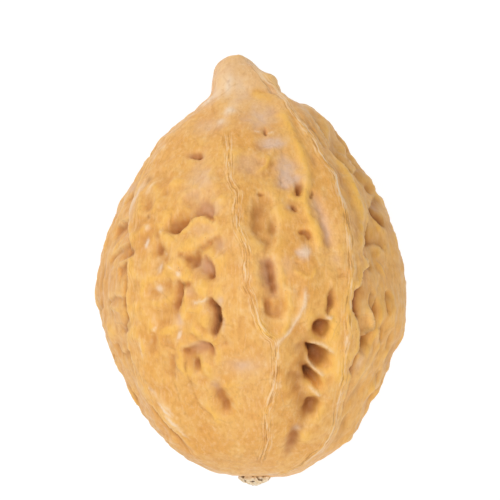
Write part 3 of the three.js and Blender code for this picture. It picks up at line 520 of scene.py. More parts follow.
# Folds, whose left side drops: places, drop, sharpness, fade, tints. Their shade is painted shade on the
# dropped side.
FOLDS = [
    # The left half.
    ([(-5.9, 10.2), (-5.2, 10.05), (-4.5, 10.2), (-4.25, 10.8)], 0.35, 0.25, 0.5, 0.45),
    ([(-7.6, 3.5), (-7.0, 3.4), (-6.5, 3.4), (-6.0, 3.8), (-5.5, 4.3), (-4.9, 4.75), (-4.2, 4.95),
     (-3.7, 4.5), (-3.1, 4.35), (-2.8, 4.8)], 0.6, 0.32, 0.85, 0.42),
    ([(-2.8, 4.8), (-2.6, 5.6), (-2.75, 6.5)], 0.3, 0.3, 0.7, dict(bloom=0.4, shade=0.1)),
    ([(-2.7, 3.5), (-3.2, 3.25), (-4.0, 2.85), (-4.7, 2.5)], 0.3, 0.3, 0.9, 0.32),
    ([(-5.05, -0.1), (-4.6, 0.5), (-4.35, 1.3), (-4.35, 2.2)], 0.55, 0.35, 0.5, 0.75),
    ([(-3.05, -0.7), (-3.02, 0.2), (-3.3, 0.85), (-3.75, 1.35), (-4.1, 1.8)],
     0.5, 0.25, 0.75, dict(shade=0.32, bloom=0.3)),
    ([(-6.5, -3.7), (-6.15, -3.0), (-6.05, -2.4), (-5.95, -1.8), (-5.95, -1.2), (-6.2, -0.7), (-6.8, -0.45)],
     0.55, 0.25, 0.65, 0.6),
    ([(-6.05, -5.0), (-6.05, -4.3), (-6.2, -3.5)], 0.25, 0.25, 0.5, dict(bloom=0.5)),
    ([(-3.0, -6.0), (-2.8, -5.3), (-2.6, -4.5), (-2.6, -3.7), (-2.8, -3.0), (-3.15, -2.4), (-3.65, -1.85)],
     0.85, 0.24, 0.42, 1.75),
    ([(-3.7, -5.9), (-4.2, -6.05), (-4.8, -6.35), (-5.5, -6.6), (-6.3, -6.65)], 0.5, 0.45, 0.7, 0.36),
    ([(-3.0, -8.1), (-3.1, -7.4), (-3.35, -6.8), (-3.7, -6.2)], 0.4, 0.3, 0.45, 0.45),
    ([(-6.5, -9.7), (-6.65, -8.8), (-6.75, -8.0), (-6.6, -7.3)], 0.28, 0.3, 0.8, 0.25),
    ([(-7.8, 1.5), (-8.0, 2.6), (-8.1, 3.5), (-7.9, 4.2)], 0.28, 0.3, 0.5, 0.3),
    ([(-6.5, -0.1), (-7.0, 0.15), (-7.6, 0.25)], 0.25, 0.2, 0.45, 0.3),
    ([(-1.2, -6.8), (-1.4, -5.9), (-1.5, -5.0)], 0.14, 0.4, 0.8, 0.14),
    ([(-7.0, 5.6), (-7.2, 6.6), (-7.0, 7.8), (-6.7, 8.8)], 0.2, 0.4, 1.1, 0.08),
    # The left flank.
    ([(-11.0, 4.95), (-11.6, 4.65), (-12.4, 4.1)], 0.6, 0.3, 0.7, 0.4),
    ([(-10.8, 3.0), (-11.4, 2.5), (-12.2, 1.95), (-12.7, 1.2)], 0.6, 0.3, 0.6, 0.5),
    ([(-10.8, 1.15), (-11.5, 0.95), (-12.1, 0.4)], 0.5, 0.3, 0.7, 0.4),
    ([(-11.1, -2.4), (-11.7, -2.2), (-12.5, -2.1), (-13.1, -2.7)], 0.45, 0.3, 0.7, 0.3),
    ([(-11.0, 7.4), (-11.3, 6.9), (-11.6, 6.3)], 0.4, 0.3, 0.7, 0.3),
    ([(-11.9, -5.9), (-11.2, -5.6), (-10.95, -4.8), (-11.05, -4.0), (-11.4, -3.4)], 0.4, 0.25, 0.6, 0.3),
    ([(-10.9, -7.0), (-11.4, -7.0), (-12.0, -7.3), (-12.4, -6.4)], 0.45, 0.3, 0.7, 0.4),
    # The long hollows between the middle vein and the seam.
    ([(1.9, 1.9), (2.4, 2.6), (2.6, 3.4), (2.55, 4.2), (2.35, 5.0), (2.2, 5.8), (2.1, 6.6), (1.9, 7.5)],
     0.38, 0.5, 1.2, 0.32),
    ([(0.1, 7.2), (-0.1, 6.0), (-0.15, 5.0), (-0.1, 4.0), (0.3, 3.0), (0.9, 2.1)], 0.3, 0.6, 0.9, 0.22),
    ([(2.6, -2.6), (2.5, -1.7), (2.42, -0.8), (2.4, 0.0), (2.3, 0.8), (2.0, 1.7)], 0.45, 0.28, 0.6, 0.36),
    ([(0.75, 1.4), (0.55, 0.4), (0.6, -0.6), (0.95, -1.6)], 0.3, 0.4, 0.7, 0.26),
    ([(1.3, -1.8), (1.12, -2.8), (1.25, -3.6), (1.7, -4.2), (2.4, -4.4), (3.0, -4.1), (3.4, -3.3),
     (3.4, -2.4), (3.1, -1.7)], 0.4, 0.35, 0.8, 0.34),
    ([(5.7, 7.5), (5.35, 6.6), (5.75, 5.8), (6.15, 4.9), (6.3, 4.0), (6.5, 3.1), (6.95, 1.8)],
     0.26, 0.3, 0.65, dict(shade=0.12, bloom=0.4)),
    ([(2.2, 7.6), (2.9, 7.2), (3.6, 7.2), (3.95, 7.5)], 0.2, 0.3, 1.0, dict(bloom=0.2)),
    ([(4.5, -7.0), (4.2, -6.3), (4.3, -5.7)], 0.2, 0.3, 0.5, 0.15),
    ([(4.95, -10.4), (4.6, -9.6), (4.55, -8.8)], 0.3, 0.35, 0.9, 0.3),
    # The right flank.
    ([(5.6, 14.1), (6.2, 13.2), (6.7, 12.4), (7.2, 11.6), (7.6, 10.9)], 0.28, 0.25, 0.6, 0.25),
    ([(7.5, 10.35), (8.3, 10.0), (8.75, 9.4), (8.9, 8.8)], 0.4, 0.22, 0.5, dict(shade=0.5, warm=0.4)),
    ([(11.4, 7.1), (11.1, 6.4), (11.0, 5.7), (11.15, 5.1), (11.6, 4.6), (11.95, 4.1), (12.1, 3.4)],
     0.3, 0.22, 0.9, 0.4),
    ([(10.1, 2.75), (11.0, 2.35), (11.6, 2.1), (12.3, 1.6)], 0.32, 0.25, 0.7, 0.35),
    ([(10.1, -0.7), (9.6, -1.6), (9.4, -2.6), (9.45, -3.6), (9.8, -4.4)], 0.4, 0.22, 0.5, 0.5),
    ([(11.0, -1.4), (10.7, -2.4), (10.65, -3.2), (10.85, -4.0), (11.05, -4.8)], 0.35, 0.2, 0.7, 0.4),
    ([(12.5, -1.5), (12.1, -2.4), (12.15, -3.2), (12.4, -4.1)], 0.35, 0.2, 0.7, 0.4),
    ([(9.8, -7.3), (9.3, -7.9), (9.1, -8.8), (9.05, -9.7)], 0.32, 0.28, 0.7, 0.36),
    ([(11.5, -5.1), (11.62, -6.0), (11.55, -6.9), (11.3, -7.7)], 0.28, 0.22, 0.55, 0.3),
    ([(11.8, -8.8), (11.45, -9.5), (11.3, -10.2)], 0.25, 0.22, 0.5, 0.3),
    ([(12.6, -5.2), (12.3, -6.2), (12.1, -7.2)], 0.3, 0.25, 0.6, 0.25),
    ([(9.0, -12.8), (8.4, -13.5), (8.0, -14.3)], 0.25, 0.25, 0.6, 0.25),
]
# Specks: x, y, half across, half along, strength.
SPECKS = [
    (-1.8, 17.3, 0.14, 0.14, 0.5), (2.77, 8.18, 0.14, 0.12, 0.4), (3.25, 7.7, 0.1, 0.1, 0.25),
    (0.88, 7.02, 0.3, 0.12, 0.4), (7.5, 1.72, 0.14, 0.14, 0.4), (-9.18, 4.86, 0.16, 0.18, 0.55),
    (10.4, 1.27, 0.15, 0.15, 0.4), (-9.2, 8.4, 0.2, 0.35, 0.35), (-9.0, 9.3, 0.12, 0.4, 0.25),
    (2.15, 5.0, 0.12, 0.2, 0.25), (-8.0, 2.0, 0.2, 0.15, 0.25), (-7.0, 5.15, 0.16, 0.08, 0.3),
    (5.3, 6.6, 0.1, 0.14, 0.7), (4.7, -13.9, 0.2, 0.25, 0.3),
]
# Painted white highlights where the waxy shell glints, and real whitish streaks and fibres: x, y, half
# across, half along, lean, strength.
GLINTS_AND_STREAKS = [
    (-9.4, 2.64, 0.2, 0.5, 0, 0.85), (-9.25, 4.0, 0.2, 0.3, 0, 0.4), (-8.07, 0.42, 0.2, 0.42, 20, 0.6),
    (-6.29, -0.15, 0.28, 0.22, 40, 0.6), (-8.14, -1.42, 0.3, 0.35, 0, 0.6),
    (-8.55, -5.08, 0.28, 0.14, -40, 0.5), (-6.33, -5.54, 0.17, 0.6, 20, 0.65),
    (-8.0, 3.6, 0.15, 0.2, 0, 0.3), (-2.0, 14.5, 0.5, 0.6, 0, 0.32), (-2.6, 13.6, 0.4, 0.4, 0, 0.4),
    (-4.0, 15.5, 0.5, 0.5, 0, 0.3), (-1.9, 16.6, 0.3, 1.2, 0, 0.3), (-8.9, 7.6, 0.25, 0.7, 25, 0.35),
    (-9.9, 9.0, 0.2, 0.8, 25, 0.35), (-9.8, -6.8, 0.12, 1.0, 5, 0.35), (-8.9, -10.7, 0.12, 1.0, -25, 0.45),
    (-7.75, -12.3, 0.12, 0.9, -34, 0.6), (-6.9, -13.5, 0.12, 0.9, -37, 0.6),
    (-7.1, -12.5, 0.1, 0.8, -34, 0.35), (-6.1, -14.6, 0.12, 0.7, -38, 0.4), (-7.5, 1.6, 0.12, 0.25, 0, 0.3),
    (-7.1, 0.3, 0.3, 0.12, 20, 0.35), (2.0, -10.2, 0.1, 0.9, 0, 0.35),
]

FLANGE = [(6.6, 11.6), (7.8, 10.1), (8.4, 9.6), (8.7, 9.1), (8.85, 8.4), (9.0, 7.6), (9.35, 7.1), (9.8, 6.8),
          (10.15, 6.4), (10.3, 5.8), (10.35, 4.9), (10.42, 3.8), (10.2, 3.05), (10.0, 2.2), (10.05, 1.4),
          (10.5, 0.95), (10.35, 0.3), (9.9, -0.3), (9.75, -1.2), (9.4, -2.2), (9.15, -3.3), (9.45, -4.2),
          (9.65, -5.2), (9.6, -6.0), (9.62, -6.8), (9.3, -7.7), (8.9, -9.2), (8.55, -11), (8.1, -12.8),
          (7.3, -14.6)]

# How much the two silhouettes stand out from the CAD nut's, at heights along the nut.
TRIM_LEFT = [(-18.8, 0), (-17.8, -0.1), (-16, 0.14), (-14.8, 0.24), (-13.2, 0.2), (-11.2, 0), (-9.6, -0.03),
             (-8.2, -0.14), (-6.6, -0.36), (-5, -0.12), (-4, -0.18), (-3, -0.05), (2, 0), (4.5, -0.18),
             (5.2, -0.05), (6.7, 0.06), (8, 0.12), (11.5, 0.07), (12.2, 0.12), (12.9, -0.18), (14.3, -0.2),
             (14.9, -0.4), (15.6, -0.2), (16.2, 0.16), (17.0, 0.14), (18.2, -0.12), (19.5, 0)]
TRIM_RIGHT = [(-18.8, 0.25), (-17.7, -0.06), (-16, 0), (-14.5, 0.16), (-13.6, 0.1), (-12.1, -0.08),
              (-10.9, 0.08), (-8.6, 0.14), (-6.5, 0.12), (-3.4, 0.28), (-1.6, -0.04), (1, 0), (2.2, 0.16),
              (3.4, 0.3), (5.3, 0.22), (7.3, -0.08), (9.2, 0.02), (10, -0.34), (12.3, -0.22), (13.9, -0.04),
              (15.4, 0.05), (16.2, -0.2), (17.5, -0.32), (18.8, -0.1), (19.4, 0)]

LEFT_FOLD = [(-5.1, -16.5), (-6.2, -15.1), (-7.45, -13.8), (-8.6, -12.5), (-9.95, -10.5), (-10.7, -8.3),
             (-11.2, -6.4), (-11.0, -4.2), (-11.15, -2.8), (-11.0, -1), (-10.85, 1.3), (-10.85, 2.9),
             (-11.0, 5), (-10.2, 7.3), (-9.5, 9.2), (-8.6, 11), (-7.0, 12.8)]


def tops(places):
    return [top(x, y) for x, y in places]


def tinted(tints):
    return tints if isinstance(tints, dict) else {"shade": tints}


# The shell's own unevenness: soft lumps everywhere, and a net of crumpled hollows on the flanks and
# underneath, where the listed relief ends.
def fractal(scale, octaves, shift, stretch=1.0):
    at = co * np.array([1, stretch, 1]) / scale + shift
    return np.array([noise.fractal(Vector(p), 0.9, 2.0, octaves) for p in at])


def cells(scale, shift, stretch):
    """How far each vertex is from the borders of a net of cells, 0 on a border."""
    at = co * np.array([1, stretch, 1]) / scale + shift
    net = np.empty(COUNT)
    for i, p in enumerate(at):
        bent = Vector(p) + 0.35 * noise.noise_vector(Vector(p) * 0.9)
        near, _ = noise.voronoi(bent)
        net[i] = near[1] - near[0]
    return net


lumps = fractal(3.2, 2, 5.0, 0.6)
mid_lumps = fractal(1.9, 2, 13.0, 0.8)
fine_lumps = fractal(1.1, 3, 21.0, 0.7)
fibres = fractal(0.55, 2, 40.0, 0.18)
hidden = np.clip((np.abs(turn) - 62) / 40, 0, 1)
right_flank = smooth((turn - 46) / 14) * (1 - smooth((turn - 150) / 30))
left_flank = smooth((-turn - 56) / 16) * (1 - smooth((-turn - 150) / 30))
y_at = co[:, 1]
crumple = np.maximum(np.maximum(smooth(hidden), right_flank), 0.85 * left_flank)
crumple *= smooth((18.3 - np.abs(y_at)) / 4)  # gentler near the two ends
net = cells(3.1, 3.0, 0.62)
small_net = cells(1.5, 9.0, 0.7)

move += 0.10 * lumps + 0.055 * fine_lumps + 0.015 * fibres
move += 0.08 * mid_lumps
# The neck under the tip, narrow from the side and fuller on top.
flanks = smooth((np.abs(turn) - 35) / 35)
move -= (0.42 * bell((y_at - 16.2) / 1.1) + 0.2 * bell((y_at - 18.6) / 0.9)) * flanks
for side, trims in ((-1, TRIM_LEFT), (1, TRIM_RIGHT)):
    move += bell((side * turn - 90) / 38) * np.interp(y_at, *np.array(trims).T)
move += 0.45 * bell((y_at - 16.7) / 1.6) * (1 - flanks)
tint["pale"] += 0.24 * smooth((y_at - 13.5) / 4)
upper = smooth((110 - np.abs(turn)) / 30)  # here the listed hollows show more than the net
move += crumple * (1 - 0.45 * upper) * (0.50 * (0.35 - smooth(net / 0.6)) + 0.10 * lumps)
move += crumple * (1 - 0.75 * upper) * 0.14 * (0.4 - smooth(small_net / 0.5))
# Painted shade and a warmer tone on the right flank, which is turned from the key light.
tint["warm"] += 0.3 * right_flank * upper
tint["shade"] += 0.05 * right_flank * upper
# Painted shade in the hollows of the net.
tint["shade"] += crumple * (0.20 * smooth((net - 0.15) / 0.6) + 0.08 * (1 - upper) * smooth(small_net / 0.6))
left_half = smooth((-7 - turn) / 9) * smooth((turn + 56) / 10) * smooth((11 - y_at) / 4)
left_half *= smooth((y_at + 12) / 4)
left_net = cells(2.3, 31.0, 0.75)
move += left_half * (0.32 * (0.4 - smooth(left_net / 0.55)) + 0.12 * mid_lumps + 0.05 * fine_lumps)
# Painted shade in the hollows of the left half's net.
tint["shade"] += left_half * 0.13 * smooth((left_net - 0.1) / 0.5)

# The seam with its collar, the ribs and the veins.
# The folds along the collar and the left rib carry painted shade on their dropped sides; the second of each
# is a narrow painted shadow at its edge.
fold(tops(FLANGE), 0.5, 0.25, 1.4, 0.1, 0.08, shade=0.2)
fold(tops(FLANGE), 0.12, 0.15, 0.35, 0, 0.08, shade=0.5)
fold(tops(LEFT_FOLD), 0.42, 0.3, 2.2, 0.06, 0.1, shade=0.12)
fold(tops(LEFT_FOLD), 0.08, 0.2, 0.4, 0, 0.1, shade=0.16)
line(tops(SEAM), 1.1, 0.14, 0.04)
line(tops(SEAM), 0.2, 0.07, 0.04)
line(tops(LEFT_RIB), 0.9, 0.16, 0.1)
line(tops(VEIN_TOP), 0.8, 0.08, 0.08)
line(tops(VEIN_RIGHT), 0.17, 0.10, 0.15, pale=0.55)

# How strongly the tables' heights and tints count. From FLANK_X on the folds are bolder, with stronger
# tints, mostly painted shade.
SPOT_RISE, LINE_RISE, PIT_SHADE, GLINT_AND_STREAK_PALE = 1.5, 1.4, 0.85, 1.3
FLANK_X, FLANK_DROP, FLANK_TINT = 8.6, 1.3, 1.4
for x, y, across, along, height, *turned, tints in SPOTS:
    spot(top(x, y), across, along, SPOT_RISE * height, *turned, **tinted(tints))
for places, width, height, taper, tints in LINES:
    line(tops(places), width, LINE_RISE * height, taper, **tinted(tints))
for places, drop, sharp, fade, tints in FOLDS:
    tints = tinted(tints)
    if places[len(places) // 2][0] > FLANK_X:
        drop, tints = FLANK_DROP * drop, {key: FLANK_TINT * amount for key, amount in tints.items()}
    fold(tops(places), drop, sharp, fade, **tints)
for rim, deepest, depth, wall, shade in PITS:
    pit(rim, deepest, depth, wall, PIT_SHADE * shade)
for places in SEPTA:
    line(tops(places), 0.16, 0.22, 0.25, pale=0.55)
    near, off, share = beside(path(tops(places)), 0.3)
    tint["shade"][near] *= 1 - 0.8 * bell(off / 0.16) * ends(share, 0.2)
for x, y, across, along, strength in SPECKS:
    spot(top(x, y), across, along, -0.08, 0, 2, shade=strength)
# Painted highlights and real whitish streaks, both in the pale tint.
for x, y, across, along, lean, strength in GLINTS_AND_STREAKS:
    spot(top(x, y), across, along, 0.05, lean, 3, pale=GLINT_AND_STREAK_PALE * strength)

# Small wrinkles, mostly lengthwise, over the upper side but for its edges.
rng = np.random.default_rng(SEED)
for _ in range(90):
    x, y, way = rng.uniform(-8.5, 8.0), rng.uniform(-16, 13), rng.normal(90, 28)
    if math.hypot(x / 9.5, y / 17) > 0.95:
        continue
    wrinkle = []
    for _ in range(4):
        wrinkle.append(top(x, y))
        x, y = x + 0.55 * math.cos(math.radians(way)), y + 0.55 * math.sin(math.radians(way))
        way += rng.normal(0, 22)
    fold(wrinkle[:: rng.choice([-1, 1])], rng.uniform(0.06, 0.16), 0.22, rng.uniform(0.3, 0.7), 0.03, 0.3,
         shade=rng.uniform(0.02, 0.12))

# The hidden side: a second seam, a rib, veins, hollows and pits like those on the upper side.
def wander(at_turn, heights, sway):
    drift = np.cumsum(rng.normal(0, sway, len(heights)))
    drift -= np.linspace(0, drift[-1], len(drift))
    return [around(at_turn + d, h) for d, h in zip(drift, heights)]


for at_turn, height, size, depth in (
        (-84, -15.2, 3.0, -0.5), (-88, -5.2, 1.6, -0.3), (-84, -9.5, 2.5, -0.25),
        (88, -5.5, 1.8, 0.3), (86, 8.0, 1.6, 0.25), (-80, -13, 2.0, -0.15)):
    spot(around(at_turn, height), size, size, depth)
back_seam = wander(-141, [18.4, 16.8, 15, 13, 10.5, 8, 5, 2, -1, -4, -7, -10, -13, -15.5, -17.3, -18.3], 1.2)
line(back_seam, 0.4, 0.12, 0.04)
back_rib = wander(129, [17, 14.5, 12, 9, 6, 3, 0, -3, -6, -9, -12, -15, -17.3], 2.0)
line(back_rib, 0.8, 0.16, 0.1)
back_veins = []
for at_turn in (95, 160, 185, -165, -112, -88):
    vein = wander(at_turn, list(np.arange(rng.uniform(10, 14), rng.uniform(-14, -9), -2.2)), 3.5)
    back_veins.append(vein)
    line(vein, 0.3, 0.05, 0.1)


# Dents and, below, creases, both darkened with painted shade.
def dents(count, turns, heights):
    for _ in range(count):
        at_turn, height = rng.uniform(*turns), rng.uniform(*heights)
        across, along = rng.uniform(0.35, 1.1), rng.uniform(0.5, 1.7)
        depth = -rng.uniform(0.15, 0.4)
        spot(around(at_turn, height), across, along, depth, rng.uniform(-35, 35), 2.6,
             shade=rng.uniform(0.1, 0.35))


def creases(count, turns, heights):
    for _ in range(count):
        at_turn, height = rng.uniform(*turns), rng.uniform(*heights)
        way, curl, length = rng.uniform(0, 2 * math.pi), rng.uniform(-0.5, 0.5), rng.uniform(0.5, 1.0)
        crease = []
        for _ in range(4):
            crease.append(around(at_turn, height))
            at_turn += 5.0 * length * math.cos(way)
            height += length * math.sin(way)
            way += curl
        fold(crease, rng.uniform(0.25, 0.6), 0.28, rng.uniform(0.5, 1.0), shade=rng.uniform(0.2, 0.6))


dents(70, (80, 280), (-16.5, 14.5))
# Deep pits, with painted shade in each and in the shallower dent beside it.
for _ in range(24):
    at_turn, height = rng.uniform(85, 275), rng.uniform(-14, 13)
    across, along = rng.uniform(0.3, 0.55), rng.uniform(0.5, 1.3)
    depth, lean, dark = -rng.uniform(0.4, 0.8), rng.uniform(-40, 40), rng.uniform(0.5, 0.8)
    skew = (rng.uniform(-0.5, 0.5), rng.uniform(-0.5, 0.5))
    spot(around(at_turn, height), across, along, depth, lean, 2.8, skew, shade=dark)
    beyond = around(at_turn + rng.uniform(-3, 3), height - along * rng.choice([-0.9, 0.9]))
    spot(beyond, across * 1.3, along * 0.7, 0.5 * depth, lean + 50, 2.4, skew, shade=0.4 * dark)
for _ in range(60):
    at_turn, height = rng.uniform(70, 290), rng.uniform(-16, 14)
    spot(around(at_turn, height), rng.uniform(0.4, 1.0), rng.uniform(0.5, 1.5), rng.uniform(0.1, 0.25),
         rng.uniform(-30, 30), 2, warm=rng.uniform(0, 0.5))
creases(64, (78, 282), (-15, 13.5))
for _ in range(16):
    at_turn, height = rng.uniform(75, 285), rng.uniform(-14, 15)
    spot(around(at_turn, height), rng.uniform(0.5, 1.0), rng.uniform(0.6, 1.3), -0.06, 0, 3,
         bloom=rng.uniform(0.4, 0.8))
# The side below the left rib.
dents(12, (-122, -97), (-9, 9))
creases(9, (-120, -97), (-8, 9))

tint["shade"] = blurred(tint["shade"], 1)

# Distances to the seams and veins, for the thin pale lines in the material.
FAR = 4.0


def nearest(routes):
    """Each vertex's distance to the nearest route, and how much of that route's lines shows there."""
    nearest_off, show = np.full(COUNT, FAR), np.zeros(COUNT)
    for route in routes:
        near, off, share = beside(path(route), FAR)
        closer = np.abs(off) < np.abs(nearest_off[near])
        near, off, share = near[closer], off[closer], share[closer]
        nearest_off[near] = off
        show[near] = smooth((share - 0.005) / 0.05) * smooth((0.995 - share) / 0.05)
    return nearest_off, show


seam_off, _ = nearest((tops(SEAM), back_seam))
vein_off, vein_show = nearest((tops(VEIN_TOP), tops(LEFT_RIB), *back_veins))

# The relief never goes under the resting plane.
placed = co + out * move[:, None]
placed[:, 2] = np.maximum(placed[:, 2], 0)
nut.data.vertices.foreach_set("co", (placed * MM).ravel())
nut.data.update()

# The rise over the wider surface: the material paints crests lighter and yellower (painted highlight) and
# hollows browner (painted shade) from it.
rise = move - blurred(move, 60)
fields = {
    "shade": np.clip(tint["shade"], 0, 1.3),
    "bloom": np.clip(tint["bloom"], 0, 0.95),
    "pale": np.clip(tint["pale"], 0, 1),
    "warm": np.clip(tint["warm"], 0, 1),
    "rise": np.clip(rise, -0.5, 0.5),
    "seam_off": seam_off,
    "vein_off": vein_off,
    "vein_show": vein_show * (1 - 0.6 * smooth((np.abs(turn) - 30) / 10)),
    "seam_show": 0.45 + 0.55 * bell((y_at - 9) / 3.5),
}
for key, values in fields.items():
    nut.data.attributes.new(key, "FLOAT", "POINT").data.foreach_set("value", values)


# ---- The dried stub of the stalk ----
stub = fine_copy("stalk_stub", "dried_stub")
stub_co = read(stub.data, "co") / MM
stub_low, stub_high = stub_co.min(0), stub_co.max(0)
stub_mid = (stub_low + stub_high) / 2
stub_half = (stub_high - stub_low) / 2
inner = (stub_co[:, 1] - stub_mid[1]) / stub_half[1]  # 1 at the shell, -1 at the free end
shaped = stub_co.copy()
taper = 0.6 + 0.92 * smooth((inner + 1) / 2)  # wider towards the shell
for axis in (0, 2):
    shaped[:, axis] = stub_mid[axis] + (stub_co[:, axis] - stub_mid[axis]) * taper
shaped[:, 1] += 0.2 + 0.3 * smooth(inner + 0.2)  # drawn up to the shell
CRUMB = 0.42  # the size of its crumbs, in mm
crumbs = np.empty(len(shaped))
dark = np.empty(len(shaped))
for i, p in enumerate(shaped):
    near, _ = noise.voronoi(Vector(p) / CRUMB)
    crumbs[i] = 0.10 * (near[1] - near[0]) - 0.05 + 0.05 * noise.fractal(Vector(p) / 0.3, 0.8, 2.0, 3)
    dark[i] = smooth((noise.noise(Vector(p) / CRUMB + Vector((3, 8, 2))) - 0.24) / 0.16)
stub_out = read(stub.data, "normal")
shaped += stub_out * (crumbs - 0.16 * dark)[:, None]
stub.data.vertices.foreach_set("co", (shaped * MM).ravel())
stub.data.update()
stub.data.attributes.new("shade", "FLOAT", "POINT").data.foreach_set("value", dark)


# ---- Materials ----
def linear(r, g, b):
    """An sRGB colour from 0 to 255 as linear RGBA."""
    parts = (r / 255, g / 255, b / 255)
    return tuple(c / 12.92 if c <= 0.04045 else ((c + 0.055) / 1.055) ** 2.4 for c in parts) + (1,)


class Nodes:
    """Short calls for building a material's node tree."""

    def __init__(self, name):
        self.material = bpy.data.materials.new(name)
        self.material.use_nodes = True
        self.tree = self.material.node_tree
        self.shader = self.tree.nodes["Principled BSDF"]
        self.object = self.tree.nodes.new("ShaderNodeTexCoord").outputs["Object"]

    def link(self, value, socket):
        if isinstance(value, bpy.types.NodeSocket):
            self.tree.links.new(value, socket)
        else:
            socket.default_value = value

    def attribute(self, name):
        node = self.tree.nodes.new("ShaderNodeAttribute")
        node.attribute_name = name
        return node.outputs["Fac"]

    def scaled(self, x, y, z):
        node = self.tree.nodes.new("ShaderNodeMapping")
        self.link(self.object, node.inputs["Vector"])
        node.inputs["Scale"].default_value = (x, y, z)
        return node.outputs["Vector"]

    def noise(self, vector, scale, detail=2.0, roughness=0.5):
        node = self.tree.nodes.new("ShaderNodeTexNoise")
        self.link(vector, node.inputs["Vector"])
        node.inputs["Scale"].default_value = scale
        node.inputs["Detail"].default_value = detail
        node.inputs["Roughness"].default_value = roughness
        return node.outputs["Fac"]

    def voronoi(self, vector, scale, feature="F1"):
        node = self.tree.nodes.new("ShaderNodeTexVoronoi")
        node.feature = feature
        self.link(vector, node.inputs["Vector"])
        node.inputs["Scale"].default_value = scale
        return node.outputs["Distance"]

    def streaks(self, off, along, scale):
        """Noise drawn out along a line on the surface, where off is the distance to the line."""
        split = self.tree.nodes.new("ShaderNodeSeparateXYZ")
        self.link(self.object, split.inputs[0])
        join = self.tree.nodes.new("ShaderNodeCombineXYZ")
        self.link(off, join.inputs["X"])
        self.link(self.times(split.outputs["Y"], along), join.inputs["Y"])
        self.link(self.times(split.outputs["X"], along), join.inputs["Z"])
        return self.noise(join.outputs[0], scale, 2)

    def math(self, operation, a, b=0.0, c=0.0):
        node = self.tree.nodes.new("ShaderNodeMath")
        node.operation = operation
        for value, socket in zip((a, b, c), node.inputs):
            self.link(value, socket)
        return node.outputs[0]

    def times(self, a, b):
        return self.math("MULTIPLY", a, b)

    def span(self, value, low, high, to_low=0.0, to_high=1.0):
        """A soft step from to_low to to_high, as the value goes from low to high."""
        node = self.tree.nodes.new("ShaderNodeMapRange")
        node.interpolation_type = "SMOOTHSTEP"
        for part, name in ((value, "Value"), (low, "From Min"), (high, "From Max"), (to_low, "To Min"),
                           (to_high, "To Max")):
            self.link(part, node.inputs[name])
        return node.outputs["Result"]

    def mix(self, amount, a, b):
        node = self.tree.nodes.new("ShaderNodeMix")
        node.data_type = "RGBA"
        self.link(amount, node.inputs[0])
        self.link(a, node.inputs[6])
        self.link(b, node.inputs[7])
        return node.outputs[2]

    def bump(self, height, distance, strength, below=None):
        node = self.tree.nodes.new("ShaderNodeBump")
        node.inputs["Distance"].default_value = distance
        node.inputs["Strength"].default_value = strength
        self.link(height, node.inputs["Height"])
        if below is not None:
            self.link(below, node.inputs["Normal"])
        return node.outputs["Normal"]


